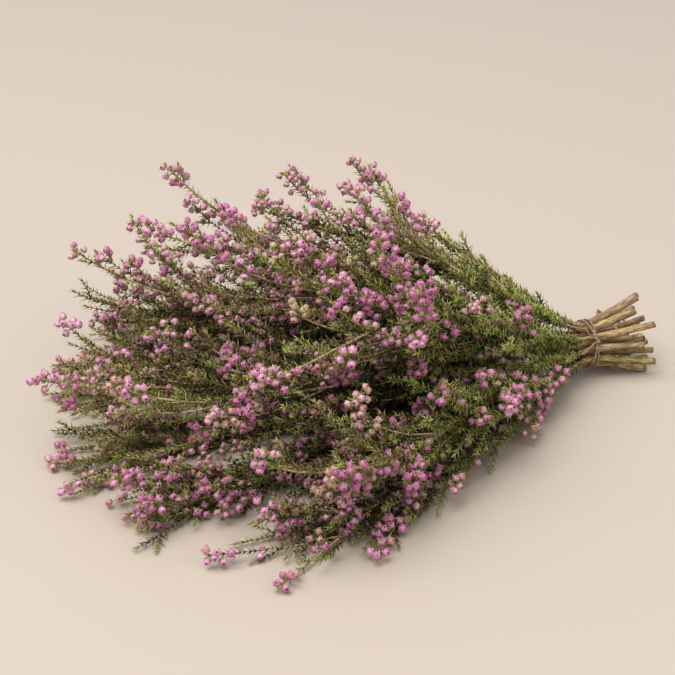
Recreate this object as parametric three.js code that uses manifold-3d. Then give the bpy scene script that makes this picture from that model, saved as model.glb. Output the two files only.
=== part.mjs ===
// A bunch of cut heather, tied near its woody ends and lying on its side. The heads fan out
// toward -X and the cut ends point toward +X. Lengths are millimetres, angles are degrees
// and +Z is up. Each stem is one solid with its side shoots, needles and florets.

import * as THREE from 'three';
import { mergeVertices } from 'three/addons/utils/BufferGeometryUtils.js';
import Module from 'manifold-3d';

const wasm = await Module();
wasm.setup();

// The bunch as a whole
const LONGEST_REACH = 297; // from the tie to the furthest tips
const CUT_LENGTH = 37; // from the tie to the cut ends, on the middle line
const CUT_SLANT = 0.25; // how much further a cut end reaches for each millimetre toward the back
const CUT_TOP_LOSS = 0.7; // how much less far for each millimetre that its seat lies higher
const CUT_UNEVEN = 5; // how far the cut ends differ from that, either way
const CUT_SPREAD = 1.2; // how far the cut ends open behind the tie, as a share of the neck
const CUT_BEND = 1.15; // above 1, the stems curve outward on the way
const TIE_HEIGHT = 17; // the middle of the tie above the surface
const LOWEST_MIDDLE = 2; // the middle line of whatever lies lowest
const OPENING_RUN = 16; // how soon the stems open out after the tie
const WIDEST_FAN = 42; // how far the heads fan out to each side
const HIGHEST_LIFT = 46;
const LOWEST_LIFT = -4; // the lowest heads press down onto the surface
const UPTURN = 4; // how much the last part of a shoot turns up
const UPTURN_START = 0.6; // the share of a stem's reach where that begins

// The outline: heads up to this lift reach all the way, and the others lose a share of the reach
const FULL_REACH_LIFT = 12;
const SIDE_LOSS = 0.12;
const EDGE_LOSS = 0.4;
const TOP_LOSS = 0.48;

// Places of the stems in the neck, measured from the middle of the tie
const INNER_SEAT = 4.6;
const OUTER_SEAT = 10.1;

// Wood
const WOOD_RADIUS = 2.7; // to the corners of the five-sided section
const WOOD_END_RADIUS = 1.2;
const CUT_END_RADIUS = 2.4;
const WOOD_SIDES = 5;
const WOOD_TURN = 0; // alike on all stems, so that the gaps between them in the neck are alike
const WOOD_SHARE = 0.5; // the share of a stem's reach that its wood takes
const LEAD_OVERLAP = 0.04; // the share of the reach where the leading shoot starts inside it
const WOOD_STEP = 27;
const NECK_STEP = 11;
const CURVE_STEP = 10;
const CUT_SLOPE = 0.5; // the steepest slant of a pruning cut across a stem

// Green shoots
const SHOOT_RADIUS = 0.85;
const SHOOT_TIP_RADIUS = 0.62;
const SHOOT_STEPS = 12;
const SHORTEST_SHOOT = 48;
const LONGEST_SHOOT = 95;
const FIRST_BRANCH = 15; // no shoot leaves its stem nearer to the tie
const LAST_BRANCH = 0.85; // or past this share of the stem's reach
const DEEPEST = 0.42; // the share by which a shoot may end short of the outline
const FOOT_LENGTH = 16; // the stretch where a shoot may touch the stem that it grows from
const ROW_STEP = 6.4; // spacing of the shoots' goals in lift
const COLUMN_STEP = 7.2; // and in fan
const COLLAR_SHOOTS = 11; // short leafy shoots around the neck of the bunch
const COLLAR_REACH = 92;
const LEAFY_SHARE = 0.16; // the share of the other shoots that have no florets

// Needles
const NEEDLE_LENGTH = 5;
const NEEDLE_WIDTH = 1; // along the shoot, at its foot
const NEEDLE_ANGLE = 42; // away from the shoot
const WHORL_RUNS = [3, 16, 37, 68]; // from the tip back to each whorl
const BARE_FOOT = 12; // no whorl on the first stretch of a shoot

// Florets: an urn that grows from one face of a whorl, as rings of a radius and a height
const FLORET_RINGS = [[2.8, 2.9], [1.5, 5.9]];
const FLORET_MOUTH = 5; // the bottom of the mouth above the foot
const FLORET_SIDES = 5;
const FLORET_MIDDLE = 3.3;
const FLORET_BALL = 3.2;
const FLORET_LEAN = 25; // forward from square to the shoot
const FLORETS_PER_WHORL = [2, 1, 1]; // from the tip back

// The tie: two loops of cord that cross at a knot, and the cord's two loose ends
const CORD_RADIUS = 0.6;
const CORD_SIDES = 4;
const LOOP_RADIUS = OUTER_SEAT + WOOD_RADIUS + CORD_RADIUS + 0.7;
const LOOP_PARTING = 1.5; // each loop to its own side, a quarter turn away from the knot
const LOOP_CORNERS = 16;
const KNOT_ANGLE = 150; // toward the front and above the middle
const KNOT_SIZE = [2.3, 1.5, 1.9]; // half sizes along the stems, out from them and round them
// Loose ends as places past the knot: along the stems, out from the loops, round the neck
const TAILS = [
  [[0, 0.6, 0], [-3, 1.6, 6], [-7, 2.6, 14], [-12, 4, 20]],
  [[0, 0.6, 0], [-1.5, 1.8, -7], [-4.5, 2.4, -16], [-6, 3.4, -26]],
];

// Free space between stems, and the spacing of the balls that stand for a shoot in testing it
const CLEARANCE = 0.35;
const BALL_STEP = 1.2;

// Each stem: its seat in the neck (distance, angle), where its head points and how far it reaches
const STEMS = [
  { seat: [INNER_SEAT, 18], fan: 14, lift: 12, reach: 292 },
  { seat: [INNER_SEAT, 90], fan: 7, lift: 25, reach: 252 },
  { seat: [INNER_SEAT, 162], fan: -9, lift: 28, reach: 252 },
  { seat: [INNER_SEAT, 234], fan: -18, lift: 13, reach: 282 },
  { seat: [INNER_SEAT, 306], fan: -2, lift: 6, reach: 298 },
  { seat: [OUTER_SEAT, -90], fan: 1, lift: -3, reach: 296 },
  { seat: [OUTER_SEAT, -57.3], fan: 14, lift: -3, reach: 279 },
  { seat: [OUTER_SEAT, -24.5], fan: 31, lift: -4, reach: 259 },
  { seat: [OUTER_SEAT, 8.2], fan: 34, lift: 9, reach: 232 },
  { seat: [OUTER_SEAT, 40.9], fan: 25, lift: 24, reach: 212 },
  { seat: [OUTER_SEAT, 73.6], fan: 7, lift: 38, reach: 176 },
  { seat: [OUTER_SEAT, 106.4], fan: -12, lift: 42, reach: 156 },
  { seat: [OUTER_SEAT, 139.1], fan: -28, lift: 30, reach: 182 },
  { seat: [OUTER_SEAT, 171.8], fan: -36, lift: 14, reach: 212 },
  { seat: [OUTER_SEAT, 204.5], fan: -33, lift: -4, reach: 252 },
  { seat: [OUTER_SEAT, 237.3], fan: -15, lift: -2, reach: 284 },
];

const DEGREE = Math.PI / 180;
const UP = new THREE.Vector3(0, 0, 1);

const stemMaterial = { color: 0x66703a, roughness: 0.8, metalness: 0 };
const tieMaterial = { color: 0xb79a68, roughness: 0.8, metalness: 0 };

// Seeded random numbers between two limits
function randomFrom(seed) {
  let state = seed;
  return (low = 0, high = 1) => {
    state = (state * 16807) % 2147483647;
    return low + ((high - low) * state) / 2147483647;
  };
}

// A height that never falls below the lowest middle line, rounded off over the given width
function keptAbove(height, width) {
  return LOWEST_MIDDLE + width * Math.log1p(Math.exp((height - LOWEST_MIDDLE) / width));
}

// A place behind the tie, where the stems open out again toward their cut ends
function placeBehindTie(seat, run) {
  const spread = 1 + CUT_SPREAD * (run / CUT_LENGTH) ** CUT_BEND;
  const width = 0.3 + 0.7 * Math.min(1, run / CUT_LENGTH);
  return new THREE.Vector3(run, seat.y * spread, keptAbove(TIE_HEIGHT + seat.z * spread, width));
}

// A place in front of the tie: stems and shoots run out like rays that open with the distance
function placeBeforeTie(seat, fan, lift, run) {
  const opening = (1 - Math.exp(-run / OPENING_RUN)) * (0.9 + 0.1 * (run / LONGEST_REACH) ** 1.5);
  const side = fan * opening * DEGREE;
  const rise = lift * opening * DEGREE;
  const width = 0.3 + 3.2 * Math.min(1, run / 60);
  return new THREE.Vector3(
    -run * Math.cos(rise) * Math.cos(side),
    seat.y - run * Math.cos(rise) * Math.sin(side),
    keptAbove(TIE_HEIGHT + seat.z + run * Math.sin(rise), width),
  );
}

// How far the bunch reaches in a direction
function outlineReach(fan, lift) {
  const side = Math.min(1.05, Math.abs(fan) / WIDEST_FAN);
  const rise = Math.max(0, (lift - FULL_REACH_LIFT) / (HIGHEST_LIFT - FULL_REACH_LIFT));
  const sideShare = 1 - SIDE_LOSS * side ** 2 - EDGE_LOSS * side ** 8;
  return LONGEST_REACH * sideShare * (1 - TOP_LOSS * rise ** 0.9);
}

// The upturn fades out for the heads that lie low
function upturnOf(lift) {
  return UPTURN * THREE.MathUtils.clamp(lift / 10, 0, 1);
}

// The lift of a stem's own line at a run from the tie
function stemLift(stem, run) {
  const end = Math.max(0, (run / stem.reach - UPTURN_START) / (1 - UPTURN_START));
  return stem.lift + upturnOf(stem.lift) * (end ** 3 - 1);
}

function stemPlace(stem, run) {
  if (run < 0) return placeBehindTie(stem.seat, -run);
  return placeBeforeTie(stem.seat, stem.fan, stemLift(stem, run), run);
}

function stemCurve(stem, from, to) {
  const count = Math.ceil((to - from) / CURVE_STEP);
  const places = [];
  for (let i = 0; i <= count; i++) places.push(stemPlace(stem, from + ((to - from) * i) / count));
  return new THREE.CatmullRomCurve3(places);
}

// A side shoot leaves its stem's line and turns toward its own goal
function shootPlace(stem, goal, part) {
  const startLift = stemLift(stem, goal.start);
  const upturn = upturnOf(goal.lift);
  const share = part ** 0.9;
  const fan = stem.fan + (goal.fan - stem.fan) * share;
  const lift = startLift + (goal.lift - upturn - startLift) * share + upturn * part ** 3;
  return placeBeforeTie(stem.seat, fan, lift, goal.start + (goal.end - goal.start) * part);
}

function shootCurve(stem, goal) {
  const places = [];
  for (let i = 0; i <= SHOOT_STEPS; i++) places.push(shootPlace(stem, goal, i / SHOOT_STEPS));
  return new THREE.CatmullRomCurve3(places);
}

// Directions that the side shoots head for: rows of goals over the whole fan
function shootGoals(random) {
  const goals = [];
  for (let lift = LOWEST_LIFT; lift < HIGHEST_LIFT; lift += ROW_STEP) {
    const half = WIDEST_FAN * Math.sqrt(1 - (Math.max(0, lift) / (HIGHEST_LIFT + 3)) ** 2);
    const step = COLUMN_STEP / Math.cos(lift * DEGREE);
    for (let fan = -half + random(0, step); fan < half; fan += step) {
      const goal = { fan: fan + random(-1, 1), lift: Math.max(LOWEST_LIFT, lift + random(-1, 1)) };
      const depth = 1 - DEEPEST * random() ** 1.4;
      goal.end = depth * outlineReach(goal.fan, goal.lift);
      goal.leafy = random() < LEAFY_SHARE;
      goals.push(goal);
    }
  }
  return goals;
}

// Short leafy shoots around the upper side of the neck
function collarGoals(random) {
  const goals = [];
  for (let i = 0; i < COLLAR_SHOOTS; i++) {
    const turn = (Math.PI * (i + 0.5)) / COLLAR_SHOOTS;
    const fan = WIDEST_FAN * Math.cos(turn);
    const lift = (HIGHEST_LIFT - 2) * Math.sin(turn);
    goals.push({ fan, lift, end: COLLAR_REACH * random(0.75, 1.15), leafy: true });
  }
  return goals;
}

// Balls that stand for what already takes up space, kept in a grid
class TakenSpace {
  constructor(cell) {
    this.cell = cell;
    this.balls = new Map();
  }

  key(x, y, z) {
    return `${x},${y},${z}`;
  }

  corner(place) {
    return [place.x, place.y, place.z].map((value) => Math.floor(value / this.cell));
  }

  addAll(balls, owner) {
    for (const ball of balls) {
      const key = this.key(...this.corner(ball.place));
      if (!this.balls.has(key)) this.balls.set(key, []);
      this.balls.get(key).push({ ...ball, owner });
    }
  }

  // Whether the balls are clear of all others, apart from those whose owner is ignored
  hasRoom(balls, ignored) {
    return balls.every((ball) => {
      for (const other of this.around(ball.place)) {
        const reach = other.radius + ball.radius + CLEARANCE;
        if (other.place.distanceTo(ball.place) < reach && !ignored(other.owner)) return false;
      }
      return true;
    });
  }

  * around(place) {
    const [cx, cy, cz] = this.corner(place);
    for (let x = cx - 1; x <= cx + 1; x++) {
      for (let y = cy - 1; y <= cy + 1; y++) {
        for (let z = cz - 1; z <= cz + 1; z++) yield* this.balls.get(this.key(x, y, z)) ?? [];
      }
    }
  }
}

// Balls along a line, whose places are a function of the part of the way along it
function ballsAlong(placeAt, length, startRadius, endRadius) {
  const count = Math.ceil(length / BALL_STEP);
  const balls = [];
  for (let i = 0; i <= count; i++) {
    const radius = THREE.MathUtils.lerp(startRadius, endRadius, i / count);
    balls.push({ place: placeAt(i / count), radius });
  }
  return balls;
}

// Points and triangles of one closed skin
class Skin {
  constructor() {
    this.places = [];
    this.corners = [];
  }

  point(place) {
    this.places.push(place.x, place.y, place.z);
    return this.places.length / 3 - 1;
  }

  triangle(a, b, c) {
    this.corners.push(a, b, c);
  }

  // Corners round a frame, counted anticlockwise for someone who looks back along the tube
  ring(frame, radius, sides, turn, slope = 0) {
    const ring = [];
    for (let i = 0; i < sides; i++) {
      const angle = turn + (2 * Math.PI * i) / sides;
      const place = frame.outward(angle).multiplyScalar(radius).add(frame.middle);
      ring.push(this.point(place.addScaledVector(frame.ahead, slope * radius * Math.cos(angle))));
    }
    return ring;
  }

  // A band between two rings, which may differ in their number of corners
  band(near, far) {
    let i = 0;
    let j = 0;
    while (i < near.length || j < far.length) {
      const nearer = near[i % near.length];
      const farther = far[j % far.length];
      if ((i + 1) / near.length <= (j + 1) / far.length) {
        this.triangle(nearer, near[(i + 1) % near.length], farther);
        i++;
      } else {
        this.triangle(nearer, far[(j + 1) % far.length], farther);
        j++;
      }
    }
  }

  startCap(ring) {
    for (let i = 1; i < ring.length - 1; i++) this.triangle(ring[0], ring[i + 1], ring[i]);
  }

  endPoint(ring, place) {
    const top = this.point(place);
    ring.forEach((corner, i) => this.triangle(corner, ring[(i + 1) % ring.length], top));
  }

  geometry() {
    const geometry = new THREE.BufferGeometry();
    geometry.setAttribute('position', new THREE.Float32BufferAttribute(this.places, 3));
    geometry.setIndex(this.corners);
    return geometry;
  }
}

// The directions along and across a line at one of its places
function frameFrom(middle, ahead) {
  const across = new THREE.Vector3().crossVectors(ahead, UP).normalize();
  const above = new THREE.Vector3().crossVectors(across, ahead);
  const outward = (angle) =>
    new THREE.Vector3()
      .addScaledVector(across, -Math.cos(angle))
      .addScaledVector(above, Math.sin(angle));
  return { middle, ahead, outward };
}

function frameAt(curve, distance) {
  const share = THREE.MathUtils.clamp(distance / curve.getLength(), 0, 1);
  return frameFrom(curve.getPointAt(share), curve.getTangentAt(share));
}

// Where the wood of a stem has its rings, as runs from the tie
function woodRuns(stem) {
  const runs = [-stem.cut, -stem.cut / 2, -NECK_STEP, 0, NECK_STEP];
  const rest = WOOD_SHARE * stem.reach - NECK_STEP;
  const count = Math.round(rest / WOOD_STEP);
  for (let i = 1; i <= count; i++) runs.push(NECK_STEP + (rest * i) / count);
  return runs;
}

// Corner radius of the wood, which is thickest in the neck
function woodRadius(stem, run) {
  if (run < 0) return THREE.MathUtils.lerp(WOOD_RADIUS, CUT_END_RADIUS, -run / stem.cut);
  const share = Math.max(0, run) / (WOOD_SHARE * stem.reach);
  return THREE.MathUtils.lerp(WOOD_RADIUS, WOOD_END_RADIUS, share);
}

// A stem's wood, with a slanted cut at its start and a point at its end
function woodSkin(stem) {
  const skin = new Skin();
  const runs = woodRuns(stem);
  let last = null;
  for (const run of runs) {
    const ahead = stemPlace(stem, run + 1).sub(stemPlace(stem, run - 1)).normalize();
    const frame = frameFrom(stemPlace(stem, run), ahead);
    const slope = last ? 0 : stem.slope;
    const ring = skin.ring(frame, woodRadius(stem, run), WOOD_SIDES, WOOD_TURN, slope);
    if (last) skin.band(last, ring);
    else skin.startCap(ring);
    last = ring;
  }
  skin.endPoint(last, stemPlace(stem, runs.at(-1) + 2 * WOOD_END_RADIUS));
  return skin;
}

// The middle of a face of the skin
function middleOf(skin, face) {
  const sum = new THREE.Vector3();
  for (const corner of face) sum.add(new THREE.Vector3().fromArray(skin.places, 3 * corner));
  return sum.divideScalar(face.length);
}

// Each whorl has six faces, one every sixty degrees
function faceAngle(whorl, face) {
  return whorl.turn + ((face + 1) * Math.PI) / 3;
}

// The tip of a needle, or null where another shoot or stem is in the way
function needleTip(foot, whorl, face, shoot, taken, random) {
  const length = NEEDLE_LENGTH * random(0.85, 1.05);
  const away = NEEDLE_ANGLE * DEGREE * random(0.8, 1.15);
  const outward = whorl.frame.outward(faceAngle(whorl, face));
  const tip = foot.clone().addScaledVector(outward, length * Math.sin(away));
  tip.addScaledVector(whorl.frame.ahead, length * Math.cos(away));
  tip.z = Math.max(0, tip.z);
  const balls = [0.25, 0.5, 0.75, 1].map((part) => ({
    place: foot.clone().lerp(tip, part),
    radius: THREE.MathUtils.lerp(0.6, 0.3, part),
  }));
  if (!taken.hasRoom(balls, (owner) => owner === shoot)) return null;
  taken.addAll(balls, shoot);
  return tip;
}

// The way a floret points from its face
function floretDirection(whorl, face) {
  const direction = whorl.frame.outward(faceAngle(whorl, face));
  direction.multiplyScalar(Math.cos(FLORET_LEAN * DEGREE));
  return direction.addScaledVector(whorl.frame.ahead, Math.sin(FLORET_LEAN * DEGREE));
}

// An urn-shaped floret drawn out of a face
function addFloret(skin, face, foot, direction) {
  const firstCorner = new THREE.Vector3().fromArray(skin.places, 3 * face[0]).sub(foot);
  const across = firstCorner.projectOnPlane(direction).normalize();
  const above = new THREE.Vector3().crossVectors(direction, across);
  const outward = (angle) =>
    new THREE.Vector3()
      .addScaledVector(across, Math.cos(angle))
      .addScaledVector(above, Math.sin(angle));
  let last = face;
  for (const [radius, height] of FLORET_RINGS) {
    const middle = foot.clone().addScaledVector(direction, height);
    const ring = skin.ring({ middle, ahead: direction, outward }, radius, FLORET_SIDES, 0);
    skin.band(last, ring);
    last = ring;
  }
  skin.endPoint(last, foot.clone().addScaledVector(direction, FLORET_MOUTH));
}

// A whorl between two rings of three corners: each of its six faces is drawn out into a needle
// or a floret, or stays flat where there is no room
function addWhorl(skin, near, far, whorl, shoot, taken, random) {
  for (let face = 0; face < 6; face++) {
    const i = Math.floor(face / 2);
    const next = (i + 1) % 3;
    const corners = face % 2 ? [far[i], near[next], far[next]] : [near[i], near[next], far[i]];
    const foot = middleOf(skin, corners);
    if (whorl.florets.includes(face)) {
      addFloret(skin, corners, foot, floretDirection(whorl, face));
      continue;
    }
    const tip = needleTip(foot, whorl, face, shoot, taken, random);
    if (tip) skin.endPoint(corners, tip);
    else skin.triangle(...corners);
  }
}

// A slim three-sided core with its whorls
function shootSkin(shoot, taken, random) {
  const skin = new Skin();
  const length = shoot.curve.getLength();
  const radiusAt = (distance) =>
    THREE.MathUtils.lerp(SHOOT_RADIUS, SHOOT_TIP_RADIUS, distance / length);
  let last = skin.ring(frameAt(shoot.curve, 0), SHOOT_RADIUS, 3, shoot.whorls[0]?.turn ?? 0);
  skin.startCap(last);
  for (const whorl of shoot.whorls) {
    const { place, turn } = whorl;
    const nearFrame = frameAt(shoot.curve, place - NEEDLE_WIDTH / 2);
    const farFrame = frameAt(shoot.curve, place + NEEDLE_WIDTH / 2);
    const near = skin.ring(nearFrame, radiusAt(place), 3, turn);
    const far = skin.ring(farFrame, radiusAt(place), 3, turn + Math.PI / 3);
    skin.band(last, near);
    addWhorl(skin, near, far, whorl, shoot, taken, random);
    last = far;
  }
  skin.endPoint(last, frameAt(shoot.curve, length).middle);
  return skin;
}

// Where the whorls of a shoot are, from its foot to its tip
function planWhorls(shoot, random) {
  const length = shoot.curve.getLength();
  const places = WHORL_RUNS.map((run) => length - run).filter((place) => place > shoot.bareFoot);
  const firstTurn = random(0, 2 * Math.PI);
  return places.reverse().map((place, i) => ({
    place,
    frame: frameAt(shoot.curve, place),
    turn: firstTurn + (i * Math.PI) / 3,
    florets: [],
  }));
}

// Florets on the last whorls of a shoot, on faces that don't neighbour each other
function plantFlorets(shoot, taken, random) {
  const fromTip = [...shoot.whorls].reverse();
  FLORETS_PER_WHORL.slice(0, fromTip.length).forEach((wanted, i) => {
    const whorl = fromTip[i];
    const first = Math.floor(random(0, 6));
    for (let attempt = 0; attempt < 6 && whorl.florets.length < wanted; attempt++) {
      const face = (first + 2 * attempt + Math.floor(attempt / 3)) % 6;
      const apart = whorl.florets.every((other) => ![1, 5].includes((face - other + 6) % 6));
      const middle = whorl.frame.middle.clone();
      middle.addScaledVector(floretDirection(whorl, face), FLORET_MIDDLE);
      const balls = [{ place: middle, radius: FLORET_BALL }];
      const isAbove = middle.z > FLORET_BALL;
      if (!apart || !isAbove || !taken.hasRoom(balls, (owner) => owner === shoot)) continue;
      taken.addAll(balls, shoot);
      whorl.florets.push(face);
    }
  });
}

// A solid from a closed geometry, without triangles that have shrunk to a line
function solidFrom(geometry) {
  geometry.deleteAttribute('normal');
  geometry.deleteAttribute('uv');
  const merged = mergeVertices(geometry, 1e-4);
  const index = merged.index.array;
  const corners = [];
  for (let i = 0; i < index.length; i += 3) {
    const [a, b, c] = [index[i], index[i + 1], index[i + 2]];
    if (a !== b && b !== c && c !== a) corners.push(a, b, c);
  }
  return new wasm.Manifold(
    new wasm.Mesh({
      numProp: 3,
      vertProperties: new Float32Array(merged.attributes.position.array),
      triVerts: new Uint32Array(corners),
    }),
  );
}

// The largest body of a solid: scraps and sealed hollows that joining leaves are dropped
function mainBody(solid) {
  return solid.decompose().reduce((best, body) => (body.volume() > best.volume() ? body : best));
}

function meshFrom(name, solid, look) {
  const { vertProperties, triVerts } = mainBody(solid).getMesh();
  const geometry = new THREE.BufferGeometry();
  geometry.setAttribute('position', new THREE.BufferAttribute(vertProperties, 3));
  geometry.setIndex(new THREE.BufferAttribute(triVerts, 1));
  geometry.computeVertexNormals();
  const mesh = new THREE.Mesh(geometry, new THREE.MeshStandardMaterial(look));
  mesh.name = name;
  return mesh;
}

function joined(solids) {
  return solids.reduce((whole, solid) => whole.add(solid));
}

// Everything below the surface, which the lowest wood is cut flat against
function groundSolid() {
  const size = 3 * LONGEST_REACH;
  return solidFrom(new THREE.BoxGeometry(size, size, 40).translate(0, 0, -20));
}

function seatOf([distance, angle]) {
  return { y: -distance * Math.cos(angle * DEGREE), z: distance * Math.sin(angle * DEGREE) };
}

// A shoot knows its stem, its line and the stretch at its foot that stays bare
function newShoot(stem, curve, leafy, bareFoot) {
  return { stem, curve, leafy, bareFoot };
}

function planStems(random) {
  return STEMS.map((plan, i) => {
    const stem = { ...plan, number: i + 1, seat: seatOf(plan.seat) };
    const endSide = stem.seat.y * (1 + CUT_SPREAD);
    const topLoss = CUT_TOP_LOSS * Math.max(0, stem.seat.z);
    stem.cut = CUT_LENGTH + CUT_SLANT * endSide - topLoss + random(-CUT_UNEVEN, CUT_UNEVEN);
    stem.slope = random(-CUT_SLOPE, CUT_SLOPE);
    const lead = stemCurve(stem, (WOOD_SHARE - LEAD_OVERLAP) * stem.reach, stem.reach);
    stem.shoots = [newShoot(stem, lead, false, 2 * LEAD_OVERLAP * stem.reach)];
    return stem;
  });
}

function takeStemSpace(stems, taken) {
  for (const stem of stems) {
    const woodEnd = WOOD_SHARE * stem.reach;
    const woodAt = (part) => stemPlace(stem, THREE.MathUtils.lerp(-stem.cut, woodEnd, part));
    const leadAt = (part) => stemPlace(stem, THREE.MathUtils.lerp(woodEnd, stem.reach, part));
    const [lead] = stem.shoots;
    taken.addAll(ballsAlong(woodAt, stem.cut + woodEnd, WOOD_RADIUS, WOOD_END_RADIUS), lead);
    taken.addAll(ballsAlong(leadAt, stem.reach - woodEnd, SHOOT_RADIUS, SHOOT_TIP_RADIUS), lead);
  }
}

function nearestStem(stems, goal) {
  const apart = (stem) =>
    Math.hypot((stem.fan - goal.fan) * Math.cos(goal.lift * DEGREE), stem.lift - goal.lift);
  return stems.reduce((best, stem) => (apart(stem) < apart(best) ? stem : best));
}

// A shoot is tried a few times in slightly other directions until it is clear of other stems,
// and beyond its foot also of the shoots of its own
function plantShoot(stems, goal, taken, random) {
  const stem = nearestStem(stems, goal);
  for (let attempt = 0; attempt < 6; attempt++) {
    const shift = 0.7 * attempt;
    const trial = { ...goal, fan: goal.fan + random(-shift, shift) };
    trial.lift = Math.max(LOWEST_LIFT, goal.lift + random(-shift, shift));
    const length = random(SHORTEST_SHOOT, LONGEST_SHOOT);
    trial.start = Math.max(FIRST_BRANCH, Math.min(LAST_BRANCH * stem.reach, trial.end - length));
    const placeAt = (part) => shootPlace(stem, trial, part);
    const balls = ballsAlong(placeAt, trial.end - trial.start, SHOOT_RADIUS, SHOOT_TIP_RADIUS);
    const beyondFoot = balls.slice(Math.ceil(FOOT_LENGTH / BALL_STEP));
    if (!taken.hasRoom(balls, (owner) => owner.stem === stem)) continue;
    if (!taken.hasRoom(beyondFoot, () => false)) continue;
    const shoot = newShoot(stem, shootCurve(stem, trial), goal.leafy, BARE_FOOT);
    taken.addAll(balls, shoot);
    stem.shoots.push(shoot);
    return;
  }
}

function buildStem(stem, taken, ground) {
  const random = randomFrom(501 + 71 * stem.number);
  const wood = solidFrom(woodSkin(stem).geometry());
  const shoots = stem.shoots.map((shoot) => solidFrom(shootSkin(shoot, taken, random).geometry()));
  const solid = joined([wood.subtract(ground), ...shoots]);
  return meshFrom(`heather_stem_${stem.number}`, solid, stemMaterial);
}

// A place near the tie: along the stems, out from the middle of the neck and round it
function placeAtNeck(along, out, angle) {
  const [side, rise] = [Math.cos(angle * DEGREE), Math.sin(angle * DEGREE)];
  return new THREE.Vector3(along, out * side, TIE_HEIGHT + out * rise);
}

// One loop round the neck, which crosses the other one at the knot and behind it
function loopSkin(parting) {
  const skin = new Skin();
  const rings = [];
  for (let i = 0; i < LOOP_CORNERS; i++) {
    const turn = (360 * (i + 0.5)) / LOOP_CORNERS;
    const angle = KNOT_ANGLE + turn;
    const radial = placeAtNeck(0, 1, angle).setZ(Math.sin(angle * DEGREE));
    const middle = placeAtNeck(parting * Math.sin(turn * DEGREE), LOOP_RADIUS, angle);
    const outward = (corner) =>
      new THREE.Vector3(Math.cos(corner), 0, 0).addScaledVector(radial, Math.sin(corner));
    const ahead = new THREE.Vector3(1, 0, 0).cross(radial);
    rings.push(skin.ring({ middle, ahead, outward }, CORD_RADIUS, CORD_SIDES, 0));
  }
  rings.forEach((ring, i) => skin.band(ring, rings[(i + 1) % rings.length]));
  return skin;
}

// A loose end of the cord, cut square
function tailSkin(places) {
  const skin = new Skin();
  const curve = new THREE.CatmullRomCurve3(
    places.map(([along, out, turn]) => placeAtNeck(along, LOOP_RADIUS + out, KNOT_ANGLE + turn)),
  );
  const steps = places.length;
  let last = null;
  for (let i = 0; i <= steps; i++) {
    const frame = frameAt(curve, (curve.getLength() * i) / steps);
    const ring = skin.ring(frame, CORD_RADIUS, CORD_SIDES, 0);
    if (last) skin.band(last, ring);
    else skin.startCap(ring);
    last = ring;
  }
  skin.startCap(last.reverse());
  return skin;
}

function knotGeometry() {
  const [along, out, round] = KNOT_SIZE;
  const middle = placeAtNeck(0, LOOP_RADIUS + 0.4, KNOT_ANGLE);
  return new THREE.IcosahedronGeometry(1, 1)
    .scale(along, out, round)
    .rotateX(KNOT_ANGLE * DEGREE)
    .translate(middle.x, middle.y, middle.z);
}

function buildTie() {
  const loops = [-LOOP_PARTING, LOOP_PARTING].map((parting) => loopSkin(parting).geometry());
  const tails = TAILS.map((places) => tailSkin(places).geometry());
  const solid = joined([...loops, knotGeometry(), ...tails].map(solidFrom));
  return meshFrom('tie', solid, tieMaterial);
}

const random = randomFrom(20231);
const taken = new TakenSpace(2 * FLORET_BALL + 1);
const stems = planStems(random);
takeStemSpace(stems, taken);
for (const goal of collarGoals(random)) plantShoot(stems, goal, taken, random);
for (const goal of shootGoals(random)) plantShoot(stems, goal, taken, random);
for (const stem of stems) {
  for (const shoot of stem.shoots) {
    shoot.whorls = planWhorls(shoot, random);
    if (!shoot.leafy) plantFlorets(shoot, taken, random);
  }
}

const ground = groundSolid();
const bunch = new THREE.Group();
for (const stem of stems) bunch.add(buildStem(stem, taken, ground));
bunch.add(buildTie());

// The origin lies under the middle of the bunch, on the surface
const middle = new THREE.Box3().setFromObject(bunch).getCenter(new THREE.Vector3());
bunch.position.set(-middle.x, -middle.y, 0);

const part = new THREE.Group();
part.add(bunch);

export default part;
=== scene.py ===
# A bunch of cut heather, tied near its woody ends and lying on its side. The solids of the frame
# give each stem a few shoots, needles and florets. This script repeats their lines and dresses
# them in bark, twigs, whorls of needles and urn-shaped florets, with finer shoots in between.
# Lengths are metres and angles are degrees. The bunch is planned round the neck, where the cord
# is, and the finished pieces are moved to the neck's place in the frame.

from bisect import bisect_right
from dataclasses import dataclass, replace
from math import atan2, ceil, cos, exp, floor, hypot, log1p, pi, radians, sin, sqrt, tau

import bmesh
import bpy
import numpy as np
from mathutils import Matrix, Vector, noise


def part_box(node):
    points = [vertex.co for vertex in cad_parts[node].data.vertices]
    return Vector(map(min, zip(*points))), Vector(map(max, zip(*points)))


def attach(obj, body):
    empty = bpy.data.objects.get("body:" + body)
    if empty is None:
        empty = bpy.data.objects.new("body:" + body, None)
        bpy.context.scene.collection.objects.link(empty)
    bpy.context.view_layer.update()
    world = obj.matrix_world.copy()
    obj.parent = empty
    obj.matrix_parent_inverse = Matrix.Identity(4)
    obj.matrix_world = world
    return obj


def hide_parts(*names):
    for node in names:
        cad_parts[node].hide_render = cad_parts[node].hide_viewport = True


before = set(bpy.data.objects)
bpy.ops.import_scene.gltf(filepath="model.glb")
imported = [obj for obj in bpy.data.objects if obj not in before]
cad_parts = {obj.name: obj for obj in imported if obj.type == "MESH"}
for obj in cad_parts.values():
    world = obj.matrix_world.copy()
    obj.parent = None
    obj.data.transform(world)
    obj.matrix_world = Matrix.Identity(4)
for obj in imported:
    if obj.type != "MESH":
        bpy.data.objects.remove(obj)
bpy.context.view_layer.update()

MM = 0.001
UP = Vector((0, 0, 1))
SOLID_SEED = 20231
FINE_SEED = 7707
DRESS_SEED = 4242

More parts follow.
